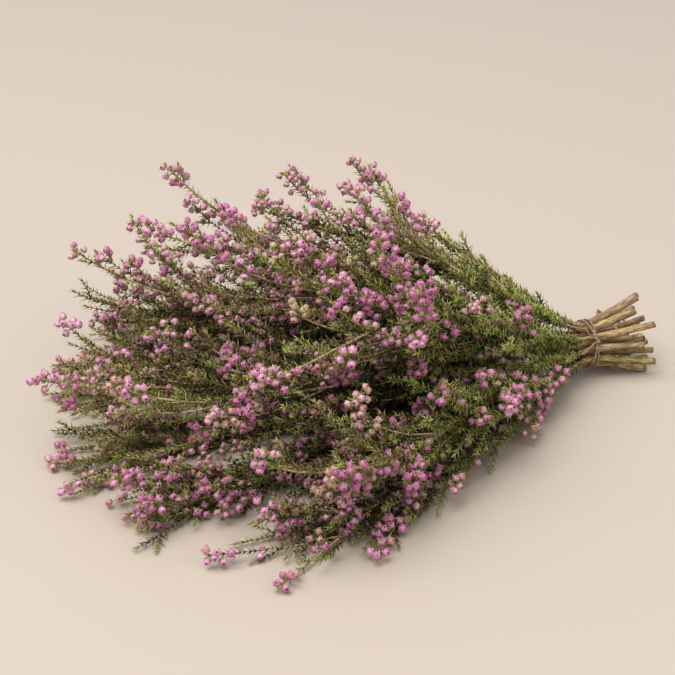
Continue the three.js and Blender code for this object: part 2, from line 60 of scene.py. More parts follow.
# The bunch as a whole, as in the solids
LONGEST_REACH = 297 * MM
CUT_LENGTH = 37 * MM
CUT_SLANT = 0.25
CUT_TOP_LOSS = 0.7
CUT_UNEVEN = 5 * MM
CUT_SPREAD = 1.2
CUT_BEND = 1.15
TIE_HEIGHT = 17 * MM
LOWEST_MIDDLE = 2 * MM
OPENING_RUN = 16 * MM
WIDEST_FAN = 42
HIGHEST_LIFT = 46
LOWEST_LIFT = -4
UPTURN = 4
UPTURN_START = 0.6
FULL_REACH_LIFT = 12
SIDE_LOSS = 0.12
EDGE_LOSS = 0.4
TOP_LOSS = 0.48
INNER_SEAT = 4.6 * MM
OUTER_SEAT = 10.1 * MM

# Each stem: the angle of its seat in the neck, the fan and the lift of its head, and how far it
# reaches in millimetres
INNER_STEMS = [
    (18, 14, 12, 292), (90, 7, 25, 252), (162, -9, 28, 252), (234, -18, 13, 282),
    (306, -2, 6, 298),
]
OUTER_STEMS = [
    (-90, 1, -3, 296), (-57.3, 14, -3, 279), (-24.5, 31, -4, 259), (8.2, 34, 9, 232),
    (40.9, 25, 24, 212), (73.6, 7, 38, 176), (106.4, -12, 42, 156), (139.1, -28, 30, 182),
    (171.8, -36, 14, 212), (204.5, -33, -4, 252), (237.3, -15, -2, 284),
]

# Wood and shoots, as in the solids
WOOD_RADIUS = 2.7 * MM
WOOD_END_RADIUS = 1.2 * MM
WOOD_SHARE = 0.5
CUT_SLOPE = 0.5
SHOOT_RADIUS = 0.85 * MM
SHOOT_TIP_RADIUS = 0.62 * MM
SHORTEST_SHOOT = 48 * MM
LONGEST_SHOOT = 95 * MM
FIRST_BRANCH = 15 * MM
LAST_BRANCH = 0.85
DEEPEST = 0.42
FOOT_LENGTH = 16 * MM
ROW_STEP = 6.4
COLUMN_STEP = 7.2
COLLAR_SHOOTS = 11
COLLAR_REACH = 92 * MM
LEAFY_SHARE = 0.16
CLEARANCE = 0.35 * MM
ATTEMPTS = 6
ATTEMPT_SHIFT = 0.7
BALL_STEP = 1.2 * MM
GRID_CELL = 7.4 * MM

# Where the sway in each direction is read from the noise, far enough apart to differ
WANDER_SHIFTS = [Vector((0, 0, 0)), Vector((31.7, 11.3, 0)), Vector((0, 57.1, 23.9))]

# The cord, as in the solids
CORD_RADIUS = 0.6 * MM
LOOP_RADIUS = OUTER_SEAT + WOOD_RADIUS + CORD_RADIUS + 0.7 * MM
LOOP_PARTING = 1.5 * MM
LOOP_CORNERS = 16
KNOT_ANGLE = 150
KNOT_HALF_LENGTH = 2.3 * MM
TAILS = [
    [(0, 0.6, 0), (-3, 1.6, 6), (-7, 2.6, 14), (-12, 4, 20)],
    [(0, 0.6, 0), (-1.5, 1.8, -7), (-4.5, 2.4, -16), (-6, 3.4, -26)],
]

# The cord as it shows: two plies, wound closer to the wood than the solid loops
TIED_RADIUS = 12.9 * MM
LOOP_STEPS = 36
KNOT_STEPS = 12
KNOT_TURN = (1.5 * MM, 1.1 * MM, 5)  # width, height, and swing in degrees
CORD_STEPS = 500
STRAND_STEPS = 900
PLY_RADIUS = 0.33 * MM
PLY_OFFSET = 0.27 * MM
PLY_PITCH = 4.2 * MM
HAIRS = 70
HAIR_WIDTH = 0.07 * MM

# The finer shoots that fill the bunch, in layers of rows: how far out a layer ends, the step
# between its rows in degrees, and the lift and the fan that it covers
FILL_LAYERS = [
    ((0.88, 1), 4.8, (LOWEST_LIFT, 14), (-45, 18)),
    ((0.88, 1), 3, (LOWEST_LIFT, 3), (-45, 18)),
    ((0.76, 0.92), 4.7, (LOWEST_LIFT, 33), (-45, 45)),
    ((0.58, 0.76), 5, (LOWEST_LIFT, 35), (-45, 45)),
    ((0.35, 0.95), 2.5, (LOWEST_LIFT, 7), (-45, 45)),
    ((0.7, 0.88), 3.8, (LOWEST_LIFT, 5), (-45, 45)),
    ((0.34, 0.68), 3.3, (LOWEST_LIFT, 18), (-2, 45)),
    ((0.4, 0.58), 5.6, (LOWEST_LIFT, 38), (-45, 45)),
    ((0.2, 0.4), 6, (LOWEST_LIFT, 38), (-45, 45)),
]

# A few more where the rest leaves the surface in sight between the stems
GAP_LAYERS = [
    ((0.56, 0.74), 4, (LOWEST_LIFT, 3), (4, 22)),
    ((0.48, 0.62), 5, (5, 18), (14, 33)),
    ((0.34, 0.48), 7, (20, 30), (-18, 11)),
]

# The far side, and the share of the outline past which a layer leaves it out
FAR_FAN = -17
FAR_LIFT = 21
OUTER_LAYER = 0.7

# Shoots that end near the neck are leafy, and so is a share of the others
LEAFY_NECK = 100 * MM
FILL_LEAFY_SHARE = 0.72

# Side shoots are bare at the foot for up to a share of their length, and stems near the neck
SHORTEST_BARE = 2 * MM
BARE_SHARE = 0.38
BARE_NECK = 9 * MM

# Leafy shoots just past the tie: how many, how high they point and where they end
FINE_COLLAR_SHOOTS = 165
FINE_COLLAR_LIFT = 41
FINE_COLLAR_REACH = (34 * MM, 118 * MM)

# Bark: it thins out from the neck to the heads, and a few side twigs are broken off short
THICK_WOOD_RADIUS = 2.15 * MM
CUT_WOOD_RADIUS = 1.65 * MM
CUT_SWAY = 1.8 * MM
THIN_WOOD_RADIUS = 0.8 * MM
WOOD_THINNING = 9 * MM
BARK_ROUGHNESS = 0.13
KNOT_BULGE = 1.2
RIDGE_HEIGHT = 0.2
STUBS = 2
TWIG_STEP = 7.5 * MM
FINE_RADII = (0.5 * MM, 0.3 * MM)
FINE_TWIG_RADII = (0.46 * MM, 0.28 * MM)

# Sprigs: short side twigs of a shoot
SPRIG_STEP = 18 * MM
SPRIG_LENGTHS = (8 * MM, 17 * MM)
SPRIG_RADII = (0.3 * MM, 0.22 * MM)
SPRIG_ANGLES = (26, 48)
SPRIG_TURNS = (110, 165)
SPRIG_BEND = 0.25
FIRST_SPRIG = 0.3
LAST_SPRIG = 9 * MM
THIN_TWIG_RADIUS = 0.47 * MM

# Needles
WHORL_STEP = 2.45 * MM
NEEDLES_PER_WHORL = 3
NEEDLE_LENGTH = 3.9 * MM
LEAFY_LENGTH = 4.9 * MM
NEEDLE_WIDTH = 0.87 * MM
NEEDLE_DEPTH = 0.55 * MM
NEEDLE_ANGLE = 48
# Shoots this deep in the outline, or deeper where they lie low, get bulkier needles; with their low
# tone they fill the inside as a dark mass of painted shade
INNER_DEPTH = 0.7
LOW_INNER_DEPTH = 0.84
LOW_LIFT = 4
INNER_BULK = 1.45
CLOSING_LENGTH = 6 * MM
YOUNG_TONE = 0.45
# Needles darken toward the foot of each shoot: partly older needles, partly painted shade inside
# the bunch
AGE_AND_FOOT_SHADE = 0.3
LOWEST_POINT = 0.6 * MM

# Florets, from the foot to the mouth
FLORET_LENGTH = 4.1 * MM
FLORET_PROFILE = [  # radius and height in millimetres, and the place along the wall from 0 to 1
    (0, 0, 0),
    (1.5, 0.4, 0.12),
    (2.1, 1.8, 0.42),
    (1.6, 3.2, 0.74),
    (0.8, 4, 0.9),
    (0, 3.1, 1),
]
FLORET_SIDES = 8
LIP = 0.9
LOBE_LIFT = 0.15 * MM
LOBE_SPREAD = 0.12
SEPAL_FOOT = 0.8 * MM
SEPAL_LENGTH = 2.8 * MM
SEPAL_WIDTH = 1.9 * MM
SEPAL_DEPTH = 0.45 * MM
SEPAL_BEND = 4.4
STALK_WIDTH = 0.5 * MM
PEDICEL_LENGTHS = (1.4 * MM, 3.2 * MM)
PEDICEL_ANGLES = (60, 100)
TIP_PEDICEL_ANGLES = (20, 75)
TIP_STRETCH = 4 * MM
LARGEST_NOD = 45
FLORET_ROOM = 1.75 * MM
FLORET_SIZES = (0.8, 1)
LOWEST_FLORET = 2.5 * MM
GOLDEN_ANGLE = 137.5
CLUSTER_STEP = 9 * MM
CLUSTER_DEPTH = (-5 * MM, 2 * MM)
CLUSTER_SHARE = 0.54
SPRIG_CLUSTER_SHARE = 0.36
TIP_FLORETS = (4, 7.99)
CLUSTER_FLORETS = (1, 5.99)
SPRIG_FLORETS = (2, 5.99)
FLOWERING_PART = (0.25, 0.75)
TURN_OUT = 0.3
TURN_TO_LIGHT = 0.55
DUSTY_TONE = 0.56
DUSTY_SIZE = 0.86
BUNCH_MIDDLE = 20 * MM
LIT_SIDE = Vector((-0.3, -0.9, 0.3))

# The view and the studio
IMAGE_SIZE = 675
FOCAL_PIXELS = 1588
SENSOR_WIDTH = 36
CAMERA_ELEVATION = 26
CAMERA_TURN = 20
CAMERA_HEIGHT = 400 * MM
NECK_PIXEL = (584, 371)
FLOOR_SIZE = 40
FLOOR_COLOUR = (0.5, 0.428, 0.365)
SKY_COLOUR = (1, 1, 1)
SKY_STRENGTH = 0.5
LAMPS = [  # name, place, size and power
    ("window", (-1.1, -0.1, 2.9), 2.8, 97),
    ("fill", (1.3, -2.4, 1.8), 2.4, 21),
]


class Draws:
    """Seeded random numbers between two limits"""

    def __init__(self, seed):
        self.state = seed

    def __call__(self, low=0.0, high=1.0):
        self.state = self.state * 16807 % 2147483647
        return low + (high - low) * self.state / 2147483647


def mix(near, far, share):
    return near + (far - near) * share


def kept_above(height, width):
    """A height that never falls below the lowest middle line"""
    return LOWEST_MIDDLE + width * log1p(exp((height - LOWEST_MIDDLE) / width))


class Stem:
    """The plan of one stem: where it runs and what grows on it"""

    def __init__(self, number, distance, angle, fan, lift, reach):
        self.number = number
        self.seat_y = -distance * cos(radians(angle))
        self.seat_z = distance * sin(radians(angle))
        self.fan = fan
        self.lift = lift
        self.reach = reach * MM
        self.seed = 7.3 * number
        self.shoots = []

    def place_behind_tie(self, run):
        """Where the stems open out again toward their cut ends"""
        spread = 1 + CUT_SPREAD * (run / CUT_LENGTH) ** CUT_BEND
        width = (0.3 + 0.7 * min(1, run / CUT_LENGTH)) * MM
        height = kept_above(TIE_HEIGHT + self.seat_z * spread, width)
        return Vector((run, self.seat_y * spread, height))

    def place_before_tie(self, fan, lift, run):
        """Stems and shoots run out like rays that open with the distance"""
        opening = 1 - exp(-run / OPENING_RUN)
        opening *= 0.9 + 0.1 * (run / LONGEST_REACH) ** 1.5
        side = radians(fan * opening)
        rise = radians(lift * opening)
        width = (0.3 + 3.2 * min(1, run / (60 * MM))) * MM
        x = -run * cos(rise) * cos(side)
        y = self.seat_y - run * cos(rise) * sin(side)
        return Vector((x, y, kept_above(TIE_HEIGHT + self.seat_z + run * sin(rise), width)))

    def lift_at(self, run):
        end = max(0, (run / self.reach - UPTURN_START) / (1 - UPTURN_START))
        return self.lift + upturn_of(self.lift) * (end ** 3 - 1)

    def place(self, run):
        if run < 0:
            return self.place_behind_tie(-run)
        return self.place_before_tie(self.fan, self.lift_at(run), run)

    def side_place(self, goal, part):
        """A side shoot leaves its stem's line and turns toward its own goal"""
        start_lift = self.lift_at(goal.start)
        upturn = upturn_of(goal.lift)
        share = part ** 0.9
        fan = mix(self.fan, goal.fan, share)
        lift = start_lift + (goal.lift - upturn - start_lift) * share + upturn * part ** 3
        return self.place_before_tie(fan, lift, mix(goal.start, goal.end, part))


def outline_reach(fan, lift):
    """How far the bunch reaches in a direction"""
    side = min(1.05, abs(fan) / WIDEST_FAN)
    rise = max(0, (lift - FULL_REACH_LIFT) / (HIGHEST_LIFT - FULL_REACH_LIFT))
    side_share = 1 - SIDE_LOSS * side ** 2 - EDGE_LOSS * side ** 8
    return LONGEST_REACH * side_share * (1 - TOP_LOSS * rise ** 0.9)


def upturn_of(lift):
    return UPTURN * min(1, max(0, lift / 10))


@dataclass
class Goal:
    """Where a side shoot starts and ends: its direction and its run from the tie"""

    fan: float
    lift: float
    end: float = 0
    leafy: bool = False
    start: float = 0


def half_fan(lift):
    """How far the rows of goals fan out at a lift"""
    return WIDEST_FAN * sqrt(1 - (max(0, lift) / (HIGHEST_LIFT + 3)) ** 2)


def shifted(fan, lift, shift, draw):
    """A direction up to a shift off another"""
    return fan + draw(-shift, shift), max(LOWEST_LIFT, lift + draw(-shift, shift))


def shoot_goals(draw):
    """Rows of goals over the whole fan, as in the solids"""
    goals = []
    lift = LOWEST_LIFT
    while lift < HIGHEST_LIFT:
        step = COLUMN_STEP / cos(radians(lift))
        fan = -half_fan(lift) + draw(0, step)
        while fan < half_fan(lift):
            goal = Goal(*shifted(fan, lift, 1, draw))
            depth = 1 - DEEPEST * draw() ** 1.4
            goal.end = depth * outline_reach(goal.fan, goal.lift)
            goal.leafy = draw() < LEAFY_SHARE
            goals.append(goal)
            fan += step
        lift += ROW_STEP
    return goals


def collar_goals(draw):
    """Short leafy shoots around the upper side of the neck, as in the solids"""
    goals = []
    for i in range(COLLAR_SHOOTS):
        turn = pi * (i + 0.5) / COLLAR_SHOOTS
        fan = WIDEST_FAN * cos(turn)
        lift = (HIGHEST_LIFT - 2) * sin(turn)
        goals.append(Goal(fan, lift, COLLAR_REACH * draw(0.75, 1.15), True))
    return goals


class TakenSpace:
    """Balls that stand for what already takes up space, kept in a grid"""

    def __init__(self, cell):
        self.cell = cell
        self.balls = {}

    def corner(self, place):
        return tuple(floor(value / self.cell) for value in place)

    def add_all(self, balls, owner):
        for place, radius in balls:
            self.balls.setdefault(self.corner(place), []).append((place, radius, owner))

    def around(self, place):
        cx, cy, cz = self.corner(place)
        for x in (cx - 1, cx, cx + 1):
            for y in (cy - 1, cy, cy + 1):
                for z in (cz - 1, cz, cz + 1):
                    yield from self.balls.get((x, y, z), ())

    def has_room(self, balls, clearance, ignored=None):
        """Whether the balls are clear of all others but those of an ignored stem"""
        for place, radius in balls:
            for other_place, other_radius, owner in self.around(place):
                reach = other_radius + radius + clearance
                if (other_place - place).length < reach:
                    if ignored is None or owner.stem is not ignored:
                        return False
        return True


def balls_along(place_at, length, start_radius, end_radius):
    count = ceil(length / BALL_STEP)
    return [
        (place_at(i / count), mix(start_radius, end_radius, i / count)) for i in range(count + 1)
    ]


class Line:
    """A line through places, read by the distance along it"""

    def __init__(self, places):
        self.places = places
        self.runs = [0.0]
        for near, far in zip(places, places[1:]):
            self.runs.append(self.runs[-1] + (far - near).length)
        self.length = self.runs[-1]

    def place(self, distance):
        i = min(max(1, bisect_right(self.runs, distance)), len(self.runs) - 1)
        share = (distance - self.runs[i - 1]) / (self.runs[i] - self.runs[i - 1])
        return self.places[i - 1].lerp(self.places[i], share)

    def ahead(self, distance):
        near = self.place(max(0, distance - MM))
        far = self.place(min(self.length, distance + MM))
        return (far - near).normalized()

    def left(self, distance, stretch):
        """1 as far as the last stretch of the line, and from there down to 0 at its end"""
        return min(1, (self.length - distance) / stretch)

    def frame(self, distance):
        """The directions across, above and ahead as columns, and the place"""
        return frame_from(self.place(distance), self.ahead(distance))


def frame_from(middle, ahead):
    across = ahead.cross(UP)
    if across.length < 1e-4:
        across = Vector((0, 1, 0))
    across.normalize()
    above = across.cross(ahead)
    return Matrix.LocRotScale(middle, Matrix((across, above, ahead)).transposed(), None)


def outward(station, angle):
    """A direction square to a station's line, at an angle in radians"""
    return station.to_3x3() @ Vector((cos(angle), sin(angle), 0))


def tilted(ahead, out, angle):
    """A direction turned from ahead toward out, by an angle in degrees"""
    tilt = radians(angle)
    return ahead * cos(tilt) + out * sin(tilt)


def wander_at(place):
    """A smooth sway in each direction, from -1 to 1, that depends on the place alone"""
    return Vector([noise.noise(place + shift) for shift in WANDER_SHIFTS])


def line_along(place_at, steps):
    return Line([place_at(i / steps) for i in range(steps + 1)])


def swaying_line(place_at, steps, sway, seed):
    """A line with slow sideways wanders that fade out toward its foot"""

    def swaying_place(part):
        place = place_at(part)
        wander = wander_at(place * 22 + Vector((seed, 0, 0)))
        place += wander * sway * min(1, 2 * part)
        place.z = max(place.z, LOWEST_MIDDLE / 2)
        return place

    return line_along(swaying_place, steps)


class Shoot:
    """A slender twig of a stem: its line, thickness and what it carries"""

    def __init__(self, stem, line, radii, leafy, bare_foot):
        self.stem = stem
        self.line = line
        self.length = line.length
        self.foot_radius, self.tip_radius = radii
        self.leafy = leafy
        self.bare_foot = bare_foot
        self.depth = 1
        self.bulk = 1
        self.tone = 0.5
        self.sprigs = []
        self.florets = []

    def radius(self, distance):
        return mix(self.foot_radius, self.tip_radius, distance / self.length)


@dataclass
class Habit:
    """How one kind of shoot grows"""

    radii: tuple
    twig_radii: tuple
    lengths: tuple
    first_branch: float
    clearance: float
    sway: float
    least_depth: float


SOLID_HABIT = Habit(
    (SHOOT_RADIUS, SHOOT_TIP_RADIUS), (0.62 * MM, 0.4 * MM),
    lengths=(SHORTEST_SHOOT, LONGEST_SHOOT), first_branch=FIRST_BRANCH,
    clearance=CLEARANCE, sway=1.2 * MM, least_depth=0,
)
FILL_HABIT = Habit(
    FINE_RADII, FINE_TWIG_RADII, lengths=(55 * MM, 110 * MM), first_branch=12 * MM,
    clearance=-1.3 * MM, sway=2 * MM, least_depth=0,
)
GAP_HABIT = replace(
    FILL_HABIT, lengths=(50 * MM, 100 * MM), clearance=-2 * MM, least_depth=0.92
)
COLLAR_HABIT = replace(
    FILL_HABIT, lengths=(30 * MM, 90 * MM), first_branch=3 * MM, clearance=-2.2 * MM,
    least_depth=1.12,
)


def plan_stems(draw):
    plans = [(INNER_SEAT, *plan) for plan in INNER_STEMS]
    plans += [(OUTER_SEAT, *plan) for plan in OUTER_STEMS]
    stems = []
    for number, plan in enumerate(plans, 1):
        stem = Stem(number, *plan)
        end_side = stem.seat_y * (1 + CUT_SPREAD)
        top_loss = CUT_TOP_LOSS * max(0, stem.seat_z)
        uneven = draw(-CUT_UNEVEN, CUT_UNEVEN)
        stem.cut = CUT_LENGTH + CUT_SLANT * end_side - top_loss + uneven
        stem.slope = draw(-CUT_SLOPE, CUT_SLOPE)
        stems.append(stem)
    return stems


def grow_leads(stems, taken):
    """The leading shoot of each stem goes on from its wood"""
    for stem in stems:
        wood_end = WOOD_SHARE * stem.reach

        def wood_at(part):
            return stem.place(mix(-stem.cut, wood_end, part))

        def lead_at(part):
            return stem.place(mix(wood_end, stem.reach, part))

        line = swaying_line(lead_at, 60, 1.4 * MM, stem.number)
        lead = Shoot(stem, line, (THIN_WOOD_RADIUS, 0.45 * MM), False, 0)
        stem.shoots.append(lead)
        trunk = Line([stem.place(wood_end * i / 60) for i in range(61)])
        stem.trunk = Shoot(stem, trunk, (1.6 * MM, THIN_WOOD_RADIUS), True, BARE_NECK)
        wood_balls = balls_along(wood_at, stem.cut + wood_end, WOOD_RADIUS, WOOD_END_RADIUS)
        lead_length = stem.reach - wood_end
        lead_balls = balls_along(lead_at, lead_length, SHOOT_RADIUS, SHOOT_TIP_RADIUS)
        taken.add_all(wood_balls, lead)
        taken.add_all(lead_balls, lead)


def nearest_stem(stems, goal):
    def apart(stem):
        across = (stem.fan - goal.fan) * cos(radians(goal.lift))
        return hypot(across, stem.lift - goal.lift)

    return min(stems, key=apart)


def plant_shoot(stems, goal, taken, draw, habit):
    """A shoot is tried a few times in slightly other directions until it is clear of the others"""
    stem = nearest_stem(stems, goal)
    wanted = goal.fan, goal.lift
    for attempt in range(ATTEMPTS):
        goal.fan, goal.lift = shifted(*wanted, ATTEMPT_SHIFT * attempt, draw)
        length = draw(*habit.lengths)
        goal.start = max(habit.first_branch, min(LAST_BRANCH * stem.reach, goal.end - length))

        def place_at(part):
            return stem.side_place(goal, part)

        balls = balls_along(place_at, goal.end - goal.start, *habit.radii)
        beyond_foot = balls[ceil(FOOT_LENGTH / BALL_STEP):]
        if not taken.has_room(balls, habit.clearance, stem):
            continue
        if not taken.has_room(beyond_foot, habit.clearance):
            continue
        line = swaying_line(place_at, 40, habit.sway, len(stem.shoots))
        shoot = Shoot(stem, line, habit.twig_radii, goal.leafy, SHORTEST_BARE)
        edge = hypot(goal.fan / WIDEST_FAN, goal.lift / HIGHEST_LIFT)
        depth = goal.end / outline_reach(goal.fan, goal.lift)
        shoot.depth = max(habit.least_depth, depth, 0.2 + 0.75 * edge)
        inner_depth = LOW_INNER_DEPTH if goal.lift < LOW_LIFT else INNER_DEPTH
        shoot.bulk = INNER_BULK if shoot.depth < inner_depth else 1
        taken.add_all(balls, shoot)
        stem.shoots.append(shoot)
        return


def fill_goals(layers, draw):
    """Finer rows of goals, in layers from the outline inward"""
    goals = []
    for (nearest, furthest), step, (first_lift, last_lift), (first_fan, last_fan) in layers:
        lift = first_lift
        while lift < last_lift:
            fan = -half_fan(lift) + draw(0, step)
            while fan < half_fan(lift):
                goal = Goal(*shifted(fan, lift, 2, draw))
                goal.end = draw(nearest, furthest) * outline_reach(goal.fan, goal.lift)
                goal.end = max(goal.end, FIRST_BRANCH + 22 * MM)
                in_front = min(1, max(0, goal.fan / 20))
                bare_neck = goal.end < LEAFY_NECK * (1 - 0.55 * in_front)
                goal.leafy = draw() < FILL_LEAFY_SHARE or bare_neck
                on_far_side = goal.fan < FAR_FAN and goal.lift > FAR_LIFT
                if first_fan < goal.fan < last_fan and not (on_far_side and nearest > OUTER_LAYER):
                    goals.append(goal)
                fan += step / cos(radians(lift))
            lift += step
    return goals


def fine_collar_goals(draw):
    """Leafy shoots that leave the stems just past the tie, all round the bunch"""
    goals = []
    for _ in range(FINE_COLLAR_SHOOTS):
        turn = draw(-0.15, pi + 0.15)
        spread = sqrt(draw(0.05, 1))
        fan = WIDEST_FAN * cos(turn) * spread
        lift = max(LOWEST_LIFT, FINE_COLLAR_LIFT * sin(turn) * spread)
        goals.append(Goal(fan, lift, draw(*FINE_COLLAR_REACH), True))
    return goals


def plan_bunch():
    """All stems with their shoots: first those of the solids, then the finer ones"""
    draw = Draws(SOLID_SEED)
    taken = TakenSpace(GRID_CELL)
    stems = plan_stems(draw)
    grow_leads(stems, taken)
    for goal in collar_goals(draw):
        plant_shoot(stems, goal, taken, draw, SOLID_HABIT)
    for goal in shoot_goals(draw):
        plant_shoot(stems, goal, taken, draw, SOLID_HABIT)
    draw = Draws(FINE_SEED)
    for goal in fine_collar_goals(draw):
        plant_shoot(stems, goal, taken, draw, COLLAR_HABIT)
    for goal in fill_goals(FILL_LAYERS, draw):
        plant_shoot(stems, goal, taken, draw, FILL_HABIT)
    for goal in fill_goals(GAP_LAYERS, draw):
        plant_shoot(stems, goal, taken, draw, GAP_HABIT)
    return stems


def arching_line(start, ahead, length, bend):
    """A short line that leaves a place and bends toward the bend's direction"""

    def arching_place(part):
        place = start + ahead * (length * part) + bend * (length * part ** 2)
        place.z = max(place.z, LOWEST_MIDDLE / 2)
        return place

    return line_along(arching_place, 6)


def plant_sprigs(shoot, draw):
    """Short side twigs, turned round the shoot from one to the next"""
    distance = max(shoot.bare_foot, FIRST_SPRIG * shoot.length) + draw(0, SPRIG_STEP)
    angle = draw(0, tau)
    while distance < shoot.length - LAST_SPRIG:
        station = shoot.line.frame(distance)
        ahead = shoot.line.ahead(distance)
        direction = tilted(ahead, outward(station, angle), draw(*SPRIG_ANGLES))
        length = draw(*SPRIG_LENGTHS) * (1 - 0.4 * distance / shoot.length)
        line = arching_line(station.translation, direction, length, ahead * SPRIG_BEND)
        sprig = Shoot(shoot.stem, line, SPRIG_RADII, shoot.leafy, 1.5 * MM)
        sprig.bulk = shoot.bulk
        sprig.tone = shoot.tone + draw(-0.12, 0.12)
        shoot.sprigs.append(sprig)
        distance += SPRIG_STEP * draw(0.7, 1.4)
        angle += radians(draw(*SPRIG_TURNS))


@dataclass
class Floret:
    """A floret on its stalk: where the stalk leaves the shoot, the floret's foot and direction"""

    start: Vector
    foot: Vector
    direction: Vector
    tone: float
    size: float


def plant_floret(shoot, distance, angle, tone, taken, draw):
    station = shoot.line.frame(distance)
    ahead = shoot.line.ahead(distance)
    out = outward(station, angle)
    near_tip = 1 - shoot.line.left(distance, TIP_STRETCH)
    angle_out = mix(draw(*PEDICEL_ANGLES), draw(*TIP_PEDICEL_ANGLES), near_tip)
    stalk = tilted(ahead, out, angle_out)
    foot = station.translation + stalk * draw(*PEDICEL_LENGTHS)
    direction = tilted(stalk, (out - ahead * 0.5).normalized(), draw(0, LARGEST_NOD))
    direction = (direction + TURN_OUT * outside(foot) + TURN_TO_LIGHT * LIT_SIDE).normalized()
    size = draw(*FLORET_SIZES) * (DUSTY_SIZE if tone > DUSTY_TONE else 1)
    middle = foot + direction * (0.45 * FLORET_LENGTH * size)
    tip_height = (foot + direction * FLORET_LENGTH).z
    if min(middle.z, foot.z, tip_height) < LOWEST_FLORET:
        return False
    balls = [(middle, FLORET_ROOM * size)]
    if not taken.has_room(balls, 0):
        return False
    taken.add_all(balls, None)
    shoot.florets.append(Floret(station.translation, foot, direction, tone + draw(-0.1, 0.1), size))
    return True


def outside(place):
    """The direction from the middle of the bunch to its surface"""
    return Vector((-20 * MM, place.y, place.z - BUNCH_MIDDLE)).normalized()


def plant_cluster(shoot, distance, count, taken, draw):
    """Florets round one place of a shoot, most of them on its outer side"""
    tone = draw()
    angle = draw(0, tau)
    for _ in range(3 * count):
        angle += radians(GOLDEN_ANGLE)
        along = min(shoot.length, distance + draw(*CLUSTER_DEPTH))
        station = shoot.line.frame(along)
        if outward(station, angle).dot(outside(station.translation)) < draw(-0.9, 0.1):
            continue
        if plant_floret(shoot, along, angle, tone, taken, draw):
            count -= 1
        if count == 0:
            return


def plant_florets(shoot, taken, draw):
    """A head at the tip, clusters behind it and some on the ends of the sprigs"""
    if shoot.leafy:
        return
    plant_cluster(shoot, shoot.length - draw(1, 4) * MM, int(draw(*TIP_FLORETS)), taken, draw)
    distance = shoot.length - CLUSTER_STEP * draw(0.8, 1.1)
    reach = draw(*FLOWERING_PART) * shoot.length
    while distance > shoot.length - reach:
        if draw() < CLUSTER_SHARE:
            plant_cluster(shoot, distance, int(draw(*CLUSTER_FLORETS)), taken, draw)
        distance -= CLUSTER_STEP * draw(0.8, 1.6)
    for sprig in shoot.sprigs:
        if draw() < SPRIG_CLUSTER_SHARE:
            tip = sprig.length - 0.5 * MM
            plant_cluster(sprig, tip, int(draw(*SPRIG_FLORETS)), taken, draw)


# Small shapes that are copied many times


def mesh_from(bm, name):
    mesh = bpy.data.meshes.new(name)
    bm.to_mesh(mesh)
    bm.free()
    return mesh


def smooth_mesh_from(bm, name):
    bmesh.ops.recalc_face_normals(bm, faces=bm.faces)
    for face in bm.faces:
        face.smooth = True
    return mesh_from(bm, name)


class Stamp:
    """A small mesh that is copied into larger ones, with a tone for each copy"""

    def __init__(self, name, bm):
        self.mesh = smooth_mesh_from(bm, name)
        self.mesh.attributes.new("tone", "FLOAT", "POINT")
        self.count = len(self.mesh.vertices)
        self.rest = np.empty(3 * self.count)
        self.mesh.vertices.foreach_get("co", self.rest)
        self.rest = self.rest.reshape(-1, 3)

    def press(self, bm, place, tone):
        turned = self.rest @ np.array(place.to_3x3()).T + np.array(place.translation)
        self.mesh.vertices.foreach_set("co", turned.ravel())
        self.mesh.attributes["tone"].data.foreach_set("value", np.full(self.count, tone))
        bm.from_mesh(self.mesh)


def needle_stamp(bend, belly):
    """A closed three-sided needle of length, width and depth 1, widest at its belly"""
    bm = bmesh.new()
    bmesh.ops.create_cone(
        bm, cap_ends=True, segments=3, radius1=0.57, radius2=0, depth=1 - belly,
        matrix=Matrix.Translation((0, 0, (1 + belly) / 2)),
    )
    if belly > 0:
        foot_face = min(bm.faces, key=lambda face: face.calc_center_median().z)
        foot = bmesh.ops.poke(bm, faces=[foot_face])["verts"][0]
        foot.co.z = 0
    along = bm.verts.layers.float.new("along")
    for vert in bm.verts:
        vert[along] = vert.co.z
        vert.co.x += bend * vert.co.z ** 2
    return Stamp("needle", bm)


def floret_stamp():
    """A closed urn with a small mouth of four lobes, spun from its profile"""
    bm = bmesh.new()
    along = bm.verts.layers.float.new("along")
    profile = []
    for radius, height, place in FLORET_PROFILE:
        vert = bm.verts.new((radius * MM, 0, height * MM))
        vert[along] = place
        profile.append(vert)
    edges = [bm.edges.new(pair) for pair in zip(profile, profile[1:])]
    bmesh.ops.spin(
        bm, geom=profile + edges, cent=(0, 0, 0), axis=UP, angle=tau,
        steps=FLORET_SIDES, use_merge=True,
    )
    bmesh.ops.remove_doubles(bm, verts=bm.verts, dist=0.01 * MM)
    for vert in bm.verts:
        if abs(vert[along] - LIP) < 0.01:
            quarter = cos(4 * atan2(vert.co.y, vert.co.x))
            vert.co.xy *= 1 + LOBE_SPREAD * quarter
            vert.co.z += LOBE_LIFT * quarter
    return Stamp("floret", bm)


def stretched(place, direction, side, size):
    """Gives a stamp its length, width and depth along a direction, with its front to one side"""
    length, width, depth = size
    across = direction.cross(side).normalized()
    facing = across.cross(direction)
    turn = Matrix((facing * depth, across * width, direction * length)).transposed()
    return Matrix.Translation(place) @ turn.to_4x4()


def kept_off_surface(place, direction, length):
    """Turns a direction so that what points along it ends above the surface"""
    rise = max(-0.99, min(0.99, (LOWEST_POINT - place.z) / length))
    if direction.z >= rise:
        return direction
    flat = Vector((direction.x, direction.y, 0)).normalized()
    return flat * sqrt(1 - rise ** 2) + UP * rise


# Pieces


def add_object(name, data):
    added = bpy.data.objects.new(name, data)
    bpy.context.scene.collection.objects.link(added)
    return added


def start_piece():
    """An empty mesh with the layers that the materials read"""
    bm = bmesh.new()
    layers = bm.verts.layers
    layers.float_vector.new("grain")
    layers.float.new("along")
    layers.float.new("tone")
    return bm


